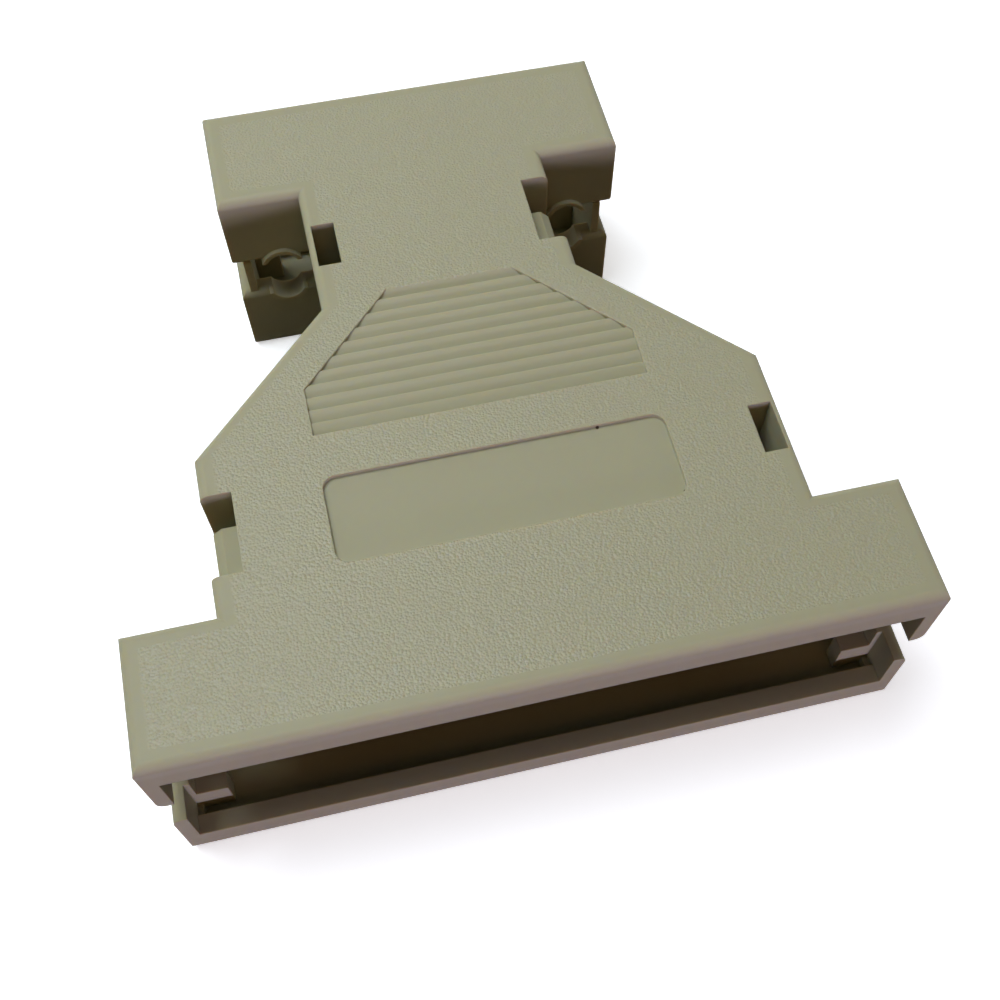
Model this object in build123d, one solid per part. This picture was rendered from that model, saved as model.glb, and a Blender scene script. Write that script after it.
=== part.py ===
from build123d import *
import os
from dataclasses import dataclass

# A two-piece adapter hood: a wide mouth for a 25-way connector at -Y, a narrow mouth for a
# 9-way connector at +Y, and a tapered waist between them. Millimetres, +Z up, with the
# origin under the middle of the flat bottom. The upper shell is modelled in place, and what
# both shells share is turned half round about the long axis to make the lower one.

# Overall form
LENGTH = 56.2
THICKNESS = 17.6
WALL = 1.5
LARGE_EAR_DEPTH = 9.9
SMALL_EAR_DEPTH = 10.2
BODY_WIDTH = 42.4
BODY_LENGTH = 22.6
NECK_WIDTH = 20.2
NECK_START = 34.2
EDGE_ROUND = 0.7

# Connector flanges that the mouths take
LARGE_FLANGE_WIDTH = 53.04
LARGE_SCREW_SPACING = 47.04
SMALL_FLANGE_WIDTH = 30.81
SMALL_SCREW_SPACING = 24.99
FLANGE_HEIGHT = 12.55
FLANGE_THICKNESS = 0.8
FLANGE_PLAY = 0.15
FLANGE_OVERLAP = 0.4
END_COVER = 1.08
BACKING_LENGTH = 2.3
BACKING_THICKNESS = 1.4
BACKING_RISE = 3.1

# Gap between the shells round each ear, and the screw hole that straddles it
SIDE_GAP = 3.6
GAP_ROUND = 0.7
SCREW_HOLE_RADIUS = 1.45
SCREW_HOLE_RISE = 1.2
COLLAR_WIDTH = 0.35
COLLAR_HEIGHT = 0.4

# Tongues of the lower shell that lap inside the upper shell's end walls
END_SKIN = 0.75
LAP_PLAY = 0.1
TONGUE_REAR_INSET = 0.3

# Snap latches
LATCH_SETBACK = 16.0
HOOK_WIDTH = 4.0
HOOK_ARM = 1.3
BARB_REACH = 2.2
BARB_HEIGHT = 2.2
BARB_INSET = 0.2
BARB_LEAD = 0.7
TIP_DEPTH = 2.6
CATCH_PLAY = 0.1
WINDOW_PLAY = 0.1
WINDOW_SKIN = 0.5
NOTCH_LENGTH = 6.5
CHEEK = 0.8

# Label recess and ribbed grip on the flat faces
LABEL_START = 11.85
LABEL_WIDTH = 25.2
LABEL_LENGTH = 7.1
LABEL_ROUND = 1.0
LABEL_DEPTH = 0.35
GRIP_START = 22.6
GRIP_SHOULDER = 26.8
GRIP_WIDTH = 25.1
GRIP_END_WIDTH = 9.8
GRIP_DEPTH = 0.36
RIB_COUNT = 11
RIB_PITCH = 1.13
RIB_BACK = 0.16
GRIP_RAMP = 0.9
CREST_DEPTH = 0.12

MID = THICKNESS / 2
MOUTH_TOP = MID + FLANGE_HEIGHT / 2 - FLANGE_OVERLAP
CEILING = THICKNESS - WALL
FLANGE_SLOT = FLANGE_THICKNESS + 2 * LAP_PLAY
BACKING_START = WALL + FLANGE_SLOT
BACKING_END = BACKING_START + BACKING_THICKNESS
RIM = MID + SIDE_GAP / 2
BAR_TOP = THICKNESS - TIP_DEPTH - BARB_HEIGHT - CATCH_PLAY
SHAFT_REACH = BARB_INSET + BARB_REACH - WINDOW_PLAY
SHAFT_HALF = HOOK_WIDTH / 2 + WINDOW_PLAY
OVERSHOOT = 1.0


@dataclass(frozen=True)
class End:
    """One end of the hood, measured inwards from its mouth."""

    face: float
    inward: int
    flange: float
    screws: float
    waist: float
    ear: float

    @property
    def half(self):
        """Half the outer width of the ears."""
        return self.mouth + END_COVER

    @property
    def mouth(self):
        """Half the width of the open mouth, which lets the flange in from the front."""
        return self.flange / 2 + FLANGE_PLAY

    def at(self, depth):
        """Y at a depth inwards from the mouth."""
        return self.face + self.inward * depth


LARGE = End(-LENGTH / 2, 1, LARGE_FLANGE_WIDTH, LARGE_SCREW_SPACING, BODY_WIDTH / 2, LARGE_EAR_DEPTH)
SMALL = End(LENGTH / 2, -1, SMALL_FLANGE_WIDTH, SMALL_SCREW_SPACING, NECK_WIDTH / 2, SMALL_EAR_DEPTH)
ENDS = (LARGE, SMALL)
# Side of the upper shell that carries its own hook at each end
HOOK_SIDES = ((LARGE, 1), (SMALL, -1))


def block(xs, ys, zs):
    """Box between two limits on each axis, given in either order."""
    spans = [sorted(limits) for limits in (xs, ys, zs)]
    centre = [(low + high) / 2 for low, high in spans]
    size = [high - low for low, high in spans]
    return Pos(*centre) * Box(*size)


def side_block(side, xs, ys, zs):
    """Box on one side of the long axis, with X measured outwards."""
    return block([side * x for x in xs], ys, zs)


def plan(inset):
    """Outline of the hood from above, drawn in by inset."""
    right = [
        (LARGE.half, LARGE.at(0)),
        (LARGE.half, LARGE.at(LARGE.ear)),
        (LARGE.waist, LARGE.at(LARGE.ear)),
        (LARGE.waist, LARGE.at(BODY_LENGTH)),
        (SMALL.waist, LARGE.at(NECK_START)),
        (SMALL.waist, SMALL.at(SMALL.ear)),
        (SMALL.half, SMALL.at(SMALL.ear)),
        (SMALL.half, SMALL.at(0)),
    ]
    left = [(-x, y) for x, y in reversed(right)]
    outline = make_face(Polyline(*right, *left, close=True))
    if inset > 0:
        outline = offset(outline, -inset, kind=Kind.INTERSECTION)
    return Pos(0, 0, MID) * outline


def rounded_half():
    """Solid upper half with its top edges rounded and its upright corners left sharp."""
    half = extrude(plan(0), THICKNESS - MID)
    return fillet(half.faces().sort_by(Axis.Z)[-1].edges(), EDGE_ROUND)


def mouth_cut(end):
    """Opening in the end wall, and the slot behind its lip for the connector's flange."""
    width = (-end.mouth, end.mouth)
    opening = block(width, (end.at(-OVERSHOOT), end.at(BACKING_START)), (MID - OVERSHOOT, MOUTH_TOP))
    flange_top = MID + FLANGE_HEIGHT / 2 + FLANGE_PLAY
    slot = block(width, (end.at(WALL), end.at(BACKING_START)), (MID - OVERSHOOT, flange_top))
    return opening + slot


def backing_block(end, side):
    """Block in the corner under the top wall that holds the flange's end from behind."""
    outer = end.half - WALL
    return side_block(
        side,
        (outer - BACKING_LENGTH, outer),
        (end.at(BACKING_START), end.at(BACKING_END)),
        (CEILING - BACKING_RISE, CEILING),
    )


def gap_cut(end, side):
    """Gap below the ear's end wall and back wall, from the mouth round to the waist."""
    return side_block(
        side,
        (end.waist, end.half + OVERSHOOT),
        (end.at(-OVERSHOOT), end.at(end.ear + OVERSHOOT)),
        (MID - OVERSHOOT, RIM),
    )


def rim_round(end, side):
    """What the rounding takes off the rim's outer edges, along the end wall and the back wall."""
    depth = (end.at(-OVERSHOOT), end.at(end.ear + OVERSHOOT))
    width = (end.waist, end.half + OVERSHOOT)
    height = (MID, RIM + GAP_ROUND)
    edge_x = end.half - GAP_ROUND
    edge_y = end.at(end.ear - GAP_ROUND)
    end_rod = Rot(90, 0, 0) * Cylinder(GAP_ROUND, 2 * LENGTH)
    back_rod = Rot(0, 90, 0) * Cylinder(GAP_ROUND, 2 * LENGTH)
    along_end = side_block(side, (edge_x, width[1]), depth, height)
    along_back = side_block(side, width, (edge_y, depth[1]), height)
    return (along_end - Pos(side * edge_x, 0, height[1]) * end_rod) + (
        along_back - Pos(0, edge_y, height[1]) * back_rod
    )


def screw_rod(end, side, radius, depths):
    """Round rod on the axis of the upper half of a screw hole, between two depths."""
    near, far = (end.at(depth) for depth in depths)
    centre = Pos(side * end.screws / 2, (near + far) / 2, MID + SCREW_HOLE_RISE)
    return centre * Rot(90, 0, 0) * Cylinder(radius, abs(far - near))


def collar(end, side):
    """Raised lip round the screw hole on the back of the ear, cut off at the rim."""
    ring = screw_rod(end, side, SCREW_HOLE_RADIUS + COLLAR_WIDTH, (end.ear - WALL, end.ear + COLLAR_HEIGHT))
    return ring - gap_cut(end, side)


def screw_cut(end, side):
    """Screw hole through the back of the ear and its collar."""
    return screw_rod(end, side, SCREW_HOLE_RADIUS, (end.ear - WALL - OVERSHOOT, end.ear + OVERSHOOT))


def hook(end, side):
    """Springy arm hanging from the top wall, with a barb that faces the side wall."""
    middle = end.at(LATCH_SETBACK)
    width = (middle - HOOK_WIDTH / 2, middle + HOOK_WIDTH / 2)
    tip = end.waist - BARB_INSET
    root = tip - BARB_REACH
    arm = side_block(side, (root - HOOK_ARM, root), width, (TIP_DEPTH, CEILING))
    barb = side_block(side, (root, tip), width, (TIP_DEPTH, TIP_DEPTH + BARB_HEIGHT))
    lead = barb.edges().filter_by(Axis.Y).group_by(Axis.Z)[0].sort_by(Axis.X)
    barb = chamfer(lead[-1] if side > 0 else lead[0], BARB_LEAD)
    return arm + barb


def window(end, side):
    """Shaft in the top wall above a hook, as wide as the barb that was moulded through it."""
    middle = end.at(LATCH_SETBACK)
    return side_block(
        side,
        (end.waist - SHAFT_REACH, end.waist - WINDOW_SKIN),
        (middle - SHAFT_HALF, middle + SHAFT_HALF),
        (MID - OVERSHOOT, THICKNESS + OVERSHOOT),
    )


def notch(end, side):
    """Notch open to the top and the side, with the bar below it that the other barb catches."""
    middle = end.at(LATCH_SETBACK)
    return side_block(
        side,
        (end.waist - SHAFT_REACH, end.waist + OVERSHOOT),
        (middle - NOTCH_LENGTH / 2, middle + NOTCH_LENGTH / 2),
        (BAR_TOP, THICKNESS + OVERSHOOT),
    )


def cheeks(end, side, reach, half, foot):
    """Two blocks under the top wall that close a shaft or notch on both sides of its hook."""
    middle = end.at(LATCH_SETBACK)
    width = (end.waist - reach, end.waist - WINDOW_SKIN)
    height = (foot, CEILING)
    far = side_block(side, width, (middle + SHAFT_HALF, middle + half), height)
    near = side_block(side, width, (middle - half, middle - SHAFT_HALF), height)
    return far + near


def window_cheeks(end, side):
    """Cheeks of a window, which reach in as far as the hook's arm."""
    return cheeks(end, side, BARB_INSET + BARB_REACH + HOOK_ARM, SHAFT_HALF + CHEEK, MID)


def notch_cheeks(end, side):
    """Cheeks of a notch, which also close its floor and its inner side."""
    return cheeks(end, side, SHAFT_REACH + CHEEK, NOTCH_LENGTH / 2 + CHEEK, BAR_TOP - CHEEK)


def label_recess():
    """Shallow recess with rounded corners for a paper label."""
    middle = LARGE.at(LABEL_START + LABEL_LENGTH / 2)
    floor = Pos(0, middle, THICKNESS - LABEL_DEPTH) * RectangleRounded(
        LABEL_WIDTH, LABEL_LENGTH, LABEL_ROUND
    )
    return extrude(floor, LABEL_DEPTH + OVERSHOOT)


def grip_cut():
    """Grooves across a six-sided panel that follows the taper of the waist.

    Each rib drops steeply behind its crest and the next one rises in an arc. A plain ramp
    leads out of the last groove.
    """
    far_edge = GRIP_START + (RIB_COUNT - 1) * RIB_PITCH + GRIP_RAMP
    panel = Polyline(
        (-GRIP_WIDTH / 2, LARGE.at(GRIP_START)),
        (GRIP_WIDTH / 2, LARGE.at(GRIP_START)),
        (GRIP_WIDTH / 2, LARGE.at(GRIP_SHOULDER)),
        (GRIP_END_WIDTH / 2, LARGE.at(far_edge)),
        (-GRIP_END_WIDTH / 2, LARGE.at(far_edge)),
        (-GRIP_WIDTH / 2, LARGE.at(GRIP_SHOULDER)),
        close=True,
    )
    outline = extrude(Pos(0, 0, CEILING) * make_face(panel), WALL + OVERSHOOT)
    above = THICKNESS + OVERSHOOT
    starts = [GRIP_START + index * RIB_PITCH for index in range(RIB_COUNT)]
    crests = [(LARGE.at(start), THICKNESS - CREST_DEPTH) for start in starts]
    crests[0] = (LARGE.at(GRIP_START), THICKNESS)
    pits = [(y + RIB_BACK, THICKNESS - GRIP_DEPTH) for y, _ in crests]
    rim = (LARGE.at(far_edge), THICKNESS)
    edges = [Polyline(pits[-1], rim, (rim[0], above), (crests[0][0], above), crests[0])]
    edges += [Line(crest, pit) for crest, pit in zip(crests, pits)]
    edges += [TangentArc(crest, pit, tangent=(-1, 0)) for crest, pit in zip(crests[1:], pits)]
    profile = Plane.YZ * make_face(Curve() + edges)
    return extrude(profile, GRIP_WIDTH, both=True) & outline


def common_shell():
    """What both shells share, in the place of the upper one."""
    shell = rounded_half() - extrude(plan(WALL), CEILING - MID)
    for end in ENDS:
        for side in (1, -1):
            shell += backing_block(end, side)
        shell -= mouth_cut(end)
        for side in (1, -1):
            shell -= gap_cut(end, side)
            shell -= rim_round(end, side)
            shell += collar(end, side)
            shell -= screw_cut(end, side)
    shell -= label_recess()
    shell -= grip_cut()
    for end, side in HOOK_SIDES:
        shell += window_cheeks(end, side)
        shell -= window(end, side)
        shell += notch_cheeks(end, -side)
        shell -= notch(end, -side)
        shell += hook(end, side)
    return shell


def lap_cut(end, side):
    """Relief inside the upper shell's end wall that takes the lower shell's tongue."""
    return side_block(
        side,
        (end.half - WALL, end.half - END_SKIN),
        (end.at(BACKING_END), end.at(end.ear - WALL)),
        (MID, MOUTH_TOP),
    )


def tongue(end, side):
    """Thin wall that rises across the side gap and laps inside the upper shell's end wall."""
    thickness = (end.half - WALL, end.half - END_SKIN - LAP_PLAY)
    foot = MID - SIDE_GAP / 2 - WALL
    front = end.at(BACKING_END + LAP_PLAY)
    lap = side_block(
        side, thickness, (front, end.at(end.ear - WALL - LAP_PLAY)), (foot, MOUTH_TOP - LAP_PLAY)
    )
    across_gap = side_block(
        side, thickness, (front, end.at(end.ear - TONGUE_REAR_INSET)), (foot, RIM - LAP_PLAY)
    )
    return lap + across_gap


def upper_shell():
    """Upper shell, with its end walls relieved for the tongues."""
    shell = common_shell()
    for end in ENDS:
        for side in (1, -1):
            shell -= lap_cut(end, side)
    return shell


def lower_shell():
    """Lower shell: the shared form turned half round, with its four tongues."""
    shell = Pos(0, 0, MID) * Rot(0, 180, 0) * Pos(0, 0, -MID) * common_shell()
    for end in ENDS:
        for side in (1, -1):
            shell += tongue(end, side)
    return shell


os.makedirs("parts", exist_ok=True)
for name, make in (("upper_shell", upper_shell), ("lower_shell", lower_shell)):
    export_step(make(), f"parts/{name}.step")
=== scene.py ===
import logging
import math
from dataclasses import dataclass, field
from enum import Enum

import bpy
import numpy as np
from mathutils import Matrix, Vector

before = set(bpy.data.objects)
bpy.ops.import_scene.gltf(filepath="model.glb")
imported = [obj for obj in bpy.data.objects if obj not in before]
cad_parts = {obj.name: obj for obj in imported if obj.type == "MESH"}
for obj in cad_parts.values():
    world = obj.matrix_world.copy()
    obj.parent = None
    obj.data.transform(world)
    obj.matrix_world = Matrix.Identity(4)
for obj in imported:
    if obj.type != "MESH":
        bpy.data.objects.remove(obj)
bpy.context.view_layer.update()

# A beige two-piece adapter hood lying on a pale table, seen from above its wide mouth.
# Every length below is in metres unless its name says millimetres or pixels.

MM = 0.001
IMAGE_SIZE_PX = 1000
SENSOR_WIDTH_MM = 36.0

LOG = logging.getLogger("hood")


class LampShape(Enum):
    """Outline of an area lamp."""

    SQUARE = "SQUARE"
    STRIP = "RECTANGLE"


def linear(hex_colour: str) -> tuple[float, float, float, float]:
    """Turn an sRGB hex colour into linear RGBA.

    Args:
        hex_colour: Colour as "#rrggbb".

    Returns:
        Linear red, green, blue and an alpha of 1.
    """
    channels = np.array([int(hex_colour[i:i + 2], 16) for i in (1, 3, 5)]) / 255
    low = channels / 12.92
    high = ((channels + 0.055) / 1.055) ** 2.4
    red, green, blue = np.where(channels <= 0.04045, low, high)
    return float(red), float(green), float(blue), 1.0


def add_node(tree: bpy.types.NodeTree, kind: str, settings: dict | None = None,
             inputs: dict | None = None) -> bpy.types.Node:
    """Add one shader node, set its properties and fill or link its inputs.

    Args:
        tree: Node tree that takes the node.
        kind: Node type, such as "ShaderNodeMath".
        settings: Property names and values.
        inputs: Input names or numbers, each with a value or an output socket to link.

    Returns:
        The new node.
    """
    node = tree.nodes.new(kind)
    for name, value in (settings or {}).items():
        setattr(node, name, value)
    for key, value in (inputs or {}).items():
        if isinstance(value, bpy.types.NodeSocket):
            tree.links.new(value, node.inputs[key])
        else:
            node.inputs[key].default_value = value
    return node


def new_material(name: str) -> tuple[bpy.types.Material, bpy.types.NodeTree]:
    """Make a material with an empty node tree.

    Args:
        name: Name of the material.

    Returns:
        The material and its tree.
    """
    material = bpy.data.materials.new(name)
    material.use_nodes = True
    material.node_tree.nodes.clear()
    return material, material.node_tree


def viewed(tree: bpy.types.NodeTree) -> bpy.types.NodeSocket:
    """Tell rays that show the backdrop from those that only carry its light.

    Args:
        tree: Node tree that takes the nodes.

    Returns:
        Socket that is 1 for camera, glossy and transmission rays and 0 for the rest.
    """
    rays = add_node(tree, "ShaderNodeLightPath").outputs
    result = rays["Is Camera Ray"]
    for kind in ("Is Glossy Ray", "Is Transmission Ray"):
        result = add_node(tree, "ShaderNodeMath", {"operation": "MAXIMUM"}, {
            0: result, 1: rays[kind]}).outputs[0]
    return result


@dataclass(frozen=True)
class Mark:
    """Small round stain on the plastic, as a place in millimetres and a radius."""

    place_mm: tuple[float, float, float]
    radius_mm: float
    tint: str
    solid_share: float = 0.6


@dataclass(frozen=True)
class TopOutline:
    """Outline of the flat faces from above, in millimetres from the middle of the hood."""

    half_length: float = 28.1
    wide_half: float = 27.75
    wide_ear_end: float = -18.2
    body_half: float = 21.2
    body_end: float = -5.5
    neck_half: float = 10.1
    neck_start: float = 6.1
    narrow_ear_end: float = 17.9
    narrow_half: float = 16.635

    def steps(self, inset: float) -> list[tuple[float, float, float]]:
        """Half widths along the hood, drawn in by an inset.

        Args:
            inset: Width of the smooth border.

        Returns:
            Places along the hood, each with the half width before it and the one after it.
        """
        wide, body, neck, narrow = (half - inset for half in (
            self.wide_half, self.body_half, self.neck_half, self.narrow_half))
        return [(inset - self.half_length, 0.0, wide), (self.wide_ear_end - inset, wide, body),
                (self.body_end, body, body), (self.neck_start, neck, neck),
                (self.narrow_ear_end + inset, neck, narrow), (self.half_length - inset, narrow, 0.0)]


# ABS from a spark-eroded mould: its flats break the light into fine specks, its edges, ribs and label
# recess shine more evenly, its sides are dull, and light that enters it comes out a little warmer.
# Real grain of this kind is about 0.1 mm wide and is drawn at twice that, so that it shows.
@dataclass(frozen=True)
class MouldedAbs:
    """Beige ABS, injection moulded: spark-eroded grain on the flats, satin elsewhere."""

    name: str = "moulded_beige_abs"
    base: str = "#a29e80"
    grain_mm: float = 0.20
    grain_height_mm: float = 0.050
    grain_strength: float = 1.0
    roughness_grain: float = 0.36
    roughness_smooth: float = 0.48
    ior: float = 1.54
    sheen_grain: float = 0.29
    sheen_smooth: float = 0.16
    sheen_side: float = 0.03
    skin_mm: float = 1.0
    skin_fade_mm: float = 0.5
    scatter: float = 0.5
    scatter_mm: float = 1.0
    scatter_spread: tuple[float, float, float] = (1.0, 0.55, 0.16)
    edge_round_mm: float = 0.12
    edge_samples: int = 6
    flat_band_mm: float = 0.05
    top_mm: float = 17.6
    border_mm: float = 1.2
    border_fade_mm: float = 0.3
    outline: TopOutline = TopOutline()
    marks: tuple[Mark, ...] = (
        Mark((7.7, -9.2, 17.3), 0.17, "#3a2c16"),
        Mark((12.4, -15.8, 17.3), 0.14, "#6b5c41"),
    )

    def build(self) -> bpy.types.Material:
        """Build the material.

        Returns:
            Material with a principled shader driven by object coordinates.
        """
        material, tree = new_material(self.name)
        place = add_node(tree, "ShaderNodeTexCoord").outputs["Object"]
        grained = self.grained(tree, place)
        rounded = add_node(tree, "ShaderNodeBevel", {"samples": self.edge_samples},
                           {"Radius": self.edge_round_mm * MM}).outputs["Normal"]
        grain = add_node(tree, "ShaderNodeTexVoronoi", {}, {
            "Vector": place, "Scale": 1 / (self.grain_mm * MM)}).outputs["Distance"]
        strength = add_node(tree, "ShaderNodeMath", {"operation": "MULTIPLY"}, {
            0: grained, 1: self.grain_strength}).outputs[0]
        bump = add_node(tree, "ShaderNodeBump", {"invert": True}, {
            "Strength": strength, "Distance": self.grain_height_mm * MM,
            "Height": grain, "Normal": rounded}).outputs["Normal"]
        roughness = add_node(tree, "ShaderNodeMapRange", {}, {
            "Value": grained, "To Min": self.roughness_smooth,
            "To Max": self.roughness_grain}).outputs["Result"]
        shader = add_node(tree, "ShaderNodeBsdfPrincipled", {}, {
            "Base Color": self.colour(tree, place), "Roughness": roughness, "IOR": self.ior,
            "Specular IOR Level": self.sheen(tree, place, grained),
            "Subsurface Weight": self.scatter, "Subsurface Radius": self.scatter_spread,
            "Subsurface Scale": self.scatter_mm * MM, "Normal": bump})
        add_node(tree, "ShaderNodeOutputMaterial", {}, {"Surface": shader.outputs["BSDF"]})
        return material

    def colour(self, tree: bpy.types.NodeTree, place: bpy.types.NodeSocket) -> bpy.types.NodeSocket:
        """Even pigment with the few small stains of the label recess.

        Args:
            tree: Node tree of the material.
            place: Object coordinates.

        Returns:
            Colour socket.
        """
        colour = add_node(tree, "ShaderNodeRGB")
        colour.outputs[0].default_value = linear(self.base)
        result = colour.outputs[0]
        for mark in self.marks:
            away = add_node(tree, "ShaderNodeVectorMath", {"operation": "DISTANCE"}, {
                0: place, 1: tuple(value * MM for value in mark.place_mm)}).outputs["Value"]
            inside = add_node(tree, "ShaderNodeMapRange", {"interpolation_type": "SMOOTHSTEP"}, {
                "Value": away, "From Min": mark.radius_mm * mark.solid_share * MM,
                "From Max": mark.radius_mm * MM, "To Min": 1.0, "To Max": 0.0}).outputs["Result"]
            result = add_node(tree, "ShaderNodeMix", {"data_type": "RGBA"}, {
                0: inside, 6: result, 7: linear(mark.tint)}).outputs[2]
        return result

    def grained(self, tree: bpy.types.NodeTree, place: bpy.types.NodeSocket) -> bpy.types.NodeSocket:
        """1 on the flat outer faces inside a smooth border, 0 on everything else.

        Args:
            tree: Node tree of the material.
            place: Object coordinates.

        Returns:
            Mask socket.
        """
        axes = add_node(tree, "ShaderNodeSeparateXYZ", {}, {0: place}).outputs
        outer = add_node(tree, "ShaderNodeMath", {"operation": "LESS_THAN"}, {
            0: self.depth(tree, axes["Z"]), 1: self.flat_band_mm * MM}).outputs[0]
        across = add_node(tree, "ShaderNodeMath", {"operation": "ABSOLUTE"}, {0: axes["X"]}).outputs[0]
        spare = add_node(tree, "ShaderNodeMath", {"operation": "SUBTRACT"}, {
            0: self.half_width(tree, axes["Y"]), 1: across}).outputs[0]
        inside = add_node(tree, "ShaderNodeMapRange", {}, {
            "Value": spare, "From Min": 0.0, "From Max": self.border_fade_mm * MM}).outputs["Result"]
        return add_node(tree, "ShaderNodeMath", {"operation": "MULTIPLY"}, {0: outer, 1: inside}).outputs[0]

    def depth(self, tree: bpy.types.NodeTree, height: bpy.types.NodeSocket) -> bpy.types.NodeSocket:
        """Depth below the nearer of the two flat outer faces.

        Args:
            tree: Node tree of the material.
            height: Distance above the table.

        Returns:
            Socket with the depth in metres.
        """
        below = add_node(tree, "ShaderNodeMath", {"operation": "SUBTRACT"}, {
            0: self.top_mm * MM, 1: height}).outputs[0]
        return add_node(tree, "ShaderNodeMath", {"operation": "MINIMUM"}, {0: below, 1: height}).outputs[0]

    def sheen(self, tree: bpy.types.NodeTree, place: bpy.types.NodeSocket,
              grained: bpy.types.NodeSocket) -> bpy.types.NodeSocket:
        """Strength of the reflection: most on the grain, less on smooth skin, least on the drawn sides.

        Args:
            tree: Node tree of the material.
            place: Object coordinates.
            grained: Mask of the grained faces.

        Returns:
            Socket for the specular level.
        """
        height = add_node(tree, "ShaderNodeSeparateXYZ", {}, {0: place}).outputs["Z"]
        smooth = add_node(tree, "ShaderNodeMapRange", {}, {
            "Value": self.depth(tree, height), "From Min": self.skin_mm * MM,
            "From Max": (self.skin_mm + self.skin_fade_mm) * MM,
            "To Min": self.sheen_smooth, "To Max": self.sheen_side}).outputs["Result"]
        return add_node(tree, "ShaderNodeMapRange", {}, {
            "Value": grained, "To Min": smooth, "To Max": self.sheen_grain}).outputs["Result"]

    def half_width(self, tree: bpy.types.NodeTree, along: bpy.types.NodeSocket) -> bpy.types.NodeSocket:
        """Half the width of the grained field at each place along the hood.

        Args:
            tree: Node tree of the material.
            along: Distance along the hood.

        Returns:
            Socket with the half width in metres, 0 beyond both ends.
        """
        # Limits of the curve along and across the hood, and the width of each step in it, in millimetres
        reach, widest, step = 30.0, 30.0, 0.02
        share = add_node(tree, "ShaderNodeMapRange", {}, {
            "Value": along, "From Min": -reach * MM, "From Max": reach * MM}).outputs["Result"]
        curve = add_node(tree, "ShaderNodeFloatCurve", {}, {"Value": share})
        points = curve.mapping.curves[0].points
        points[0].location = (0.0, 0.0)
        points[1].location = (1.0, 0.0)
        for y, before, after in self.outline.steps(self.border_mm):
            for place, width in ((y - step, before), (y + step, after)):
                points.new((place + reach) / (2 * reach), width / widest)
        for point in points:
            point.handle_type = "VECTOR"
        curve.mapping.update()
        return add_node(tree, "ShaderNodeMath", {"operation": "MULTIPLY"}, {
            0: curve.outputs["Value"], 1: widest * MM}).outputs[0]


# White paper without a coating: an even matt white that keeps a soft shadow under the object.
@dataclass(frozen=True)
class PalePaper:
    """Matt paper sweep under the hood: white to the eye, while the light it throws back is dim and warm."""

    name: str = "matt_paper_sweep"
    seen: str = "#ffffff"
    thrown: str = "#54432c"
    lift: float = 0.55
    roughness: float = 0.9

    def build(self) -> bpy.types.Material:
        """Build the material.

        Returns:
            Material of the floor.
        """
        material, tree = new_material(self.name)
        tint = add_node(tree, "ShaderNodeMix", {"data_type": "RGBA"}, {
            0: viewed(tree), 6: linear(self.thrown), 7: linear(self.seen)}).outputs[2]
        lift = add_node(tree, "ShaderNodeMath", {"operation": "MULTIPLY"}, {
            0: add_node(tree, "ShaderNodeLightPath").outputs["Is Camera Ray"], 1: self.lift}).outputs[0]
        shader = add_node(tree, "ShaderNodeBsdfPrincipled", {}, {
            "Base Color": tint, "Roughness": self.roughness, "Specular IOR Level": 0.0,
            "Emission Color": linear(self.seen), "Emission Strength": lift})
        add_node(tree, "ShaderNodeOutputMaterial", {}, {"Surface": shader.outputs["BSDF"]})
        return material


@dataclass
class HoodShells:
    """The two mouldings of the hood, shown as packed and dressed in one plastic."""

    nodes: dict[str, bpy.types.Object]
    finish: MouldedAbs = field(default_factory=MouldedAbs)

    def dress(self) -> None:
        """Give both shells the moulded plastic."""
        plastic = self.finish.build()
        for name, shell in self.nodes.items():
            shell.data.materials.clear()
            shell.data.materials.append(plastic)
            LOG.info("dressed %s in %s", name, plastic.name)


@dataclass
class PhotoCamera:
    """Camera of the photo, solved on the outline and the features of the top face."""

    focal_px: float = 1211.6
    azimuth_deg: float = -15.626
    elevation_deg: float = 63.723
    roll_deg: float = 2.230
    distance_mm: float = 81.776
    target_mm: tuple[float, float, float] = (-0.434, -21.879, 17.6)
    optical_axis_px: tuple[float, float] = (530.0, 600.0)
    clip_start: float = 0.005

    def build(self) -> bpy.types.Object:
        """Place the camera.

        Returns:
            The camera object, set as the scene's camera.
        """
        turn, tilt, roll = (math.radians(angle) for angle in
                            (self.azimuth_deg, self.elevation_deg, self.roll_deg))
        back = Vector((math.sin(turn) * math.cos(tilt), -math.cos(turn) * math.cos(tilt), math.sin(tilt)))
        level = Vector((math.cos(turn), math.sin(turn), 0.0))
        upward = back.cross(level)
        right = math.cos(roll) * level + math.sin(roll) * upward
        up = math.cos(roll) * upward - math.sin(roll) * level
        place = (Vector(self.target_mm) + back * self.distance_mm) * MM
        data = bpy.data.cameras.new("photo_camera")
        data.sensor_width = SENSOR_WIDTH_MM
        data.lens = self.focal_px / IMAGE_SIZE_PX * SENSOR_WIDTH_MM
        data.shift_x = 0.5 - self.optical_axis_px[0] / IMAGE_SIZE_PX
        data.shift_y = self.optical_axis_px[1] / IMAGE_SIZE_PX - 0.5
        data.clip_start = self.clip_start
        camera = bpy.data.objects.new("photo_camera", data)
        bpy.context.scene.collection.objects.link(camera)
        rotation = Matrix((right, up, back)).transposed()
        camera.matrix_world = Matrix.Translation(place) @ rotation.to_4x4()
        bpy.context.scene.camera = camera
        return camera


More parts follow.
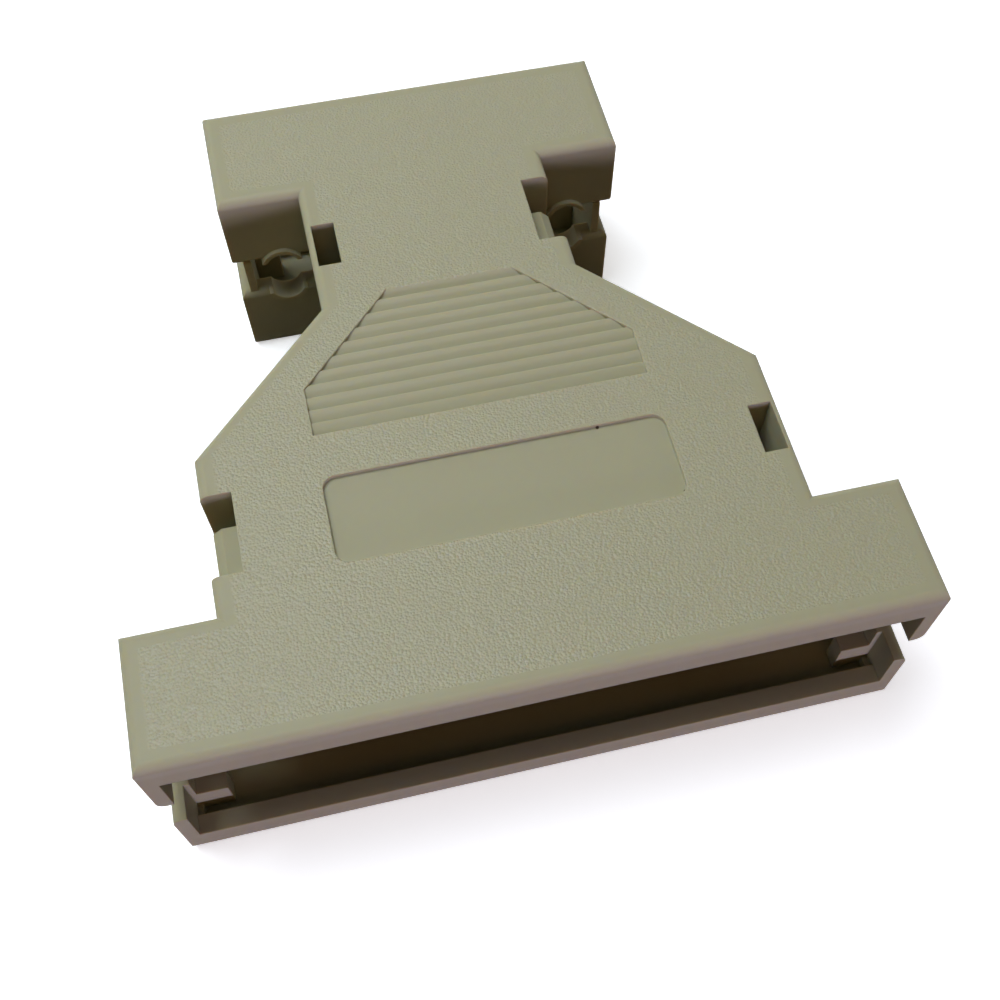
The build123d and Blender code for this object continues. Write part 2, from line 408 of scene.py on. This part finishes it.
@dataclass(frozen=True)
class Lamp:
    """Area lamp that faces the object, with its place and size in metres and its power in watts."""

    name: str
    shape: LampShape
    place: tuple[float, float, float]
    size: tuple[float, float]
    power: float
    tint: str

    def build(self) -> None:
        """Add the lamp to the scene."""
        data = bpy.data.lights.new(self.name, "AREA")
        data.shape = self.shape.value
        data.size = self.size[0]
        if self.shape is LampShape.STRIP:
            data.size_y = self.size[1]
        data.energy = self.power
        data.color = linear(self.tint)[:3]
        lamp = bpy.data.objects.new(self.name, data)
        lamp.location = self.place
        lamp.rotation_euler = (-Vector(self.place)).to_track_quat("-Z", "Y").to_euler()
        bpy.context.scene.collection.objects.link(lamp)


@dataclass
class Studio:
    """Pale floor under an overhead softbox, with weak lamps round it and a pale backdrop."""

    floor_half: float = 1.2
    surround: str = "#ffffff"
    surround_light: float = 0.015
    surround_seen: float = 0.6
    lamps: tuple[Lamp, ...] = (
        Lamp("overhead_softbox", LampShape.SQUARE, (-0.09, 0.065, 0.32), (0.22, 0.22), 1.06, "#eff7ff"),
        Lamp("left_fill", LampShape.STRIP, (-0.50, 0.12, 0.12), (0.60, 0.16), 0.48, "#fbfcff"),
        Lamp("right_fill", LampShape.STRIP, (0.50, 0.12, 0.12), (0.60, 0.16), 0.48, "#fbfcff"),
        Lamp("back_fill", LampShape.STRIP, (0.0, 0.52, 0.12), (0.60, 0.16), 0.30, "#fbfcff"),
        Lamp("warm_front_fill", LampShape.SQUARE, (0.05, -0.35, 0.30), (0.20, 0.20), 0.12, "#ffb86a"),
        Lamp("low_front_strip", LampShape.STRIP, (0.0, -0.50, 0.06), (0.16, 0.06), 1.3, "#e0d2ff"),
    )

    def build(self) -> None:
        """Add the floor, the lamps and the world."""
        self.floor()
        for lamp in self.lamps:
            lamp.build()
        self.world()
        bpy.context.scene.view_settings.view_transform = "Standard"

    def floor(self) -> None:
        """Flat sheet under the object."""
        grid = np.array([(-1, -1, 0), (1, -1, 0), (1, 1, 0), (-1, 1, 0)], float) * self.floor_half
        mesh = bpy.data.meshes.new("floor")
        mesh.from_pydata(grid.tolist(), [], [(0, 1, 2, 3)])
        mesh.materials.append(PalePaper().build())
        floor = bpy.data.objects.new("floor", mesh)
        bpy.context.scene.collection.objects.link(floor)

    def world(self) -> None:
        """Surround that looks pale and throws little light."""
        world = bpy.data.worlds.new("studio_surround")
        world.use_nodes = True
        tree = world.node_tree
        tree.nodes.clear()
        strength = add_node(tree, "ShaderNodeMapRange", {}, {
            "Value": viewed(tree), "To Min": self.surround_light,
            "To Max": self.surround_seen}).outputs["Result"]
        shade = add_node(tree, "ShaderNodeBackground", {}, {
            "Color": linear(self.surround), "Strength": strength})
        add_node(tree, "ShaderNodeOutputWorld", {}, {"Surface": shade.outputs[0]})
        bpy.context.scene.world = world


def main() -> None:
    """Dress the shells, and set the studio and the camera."""
    logging.basicConfig(level=logging.INFO)
    HoodShells(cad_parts).dress()
    Studio().build()
    PhotoCamera().build()


if __name__ == "__main__":
    main()
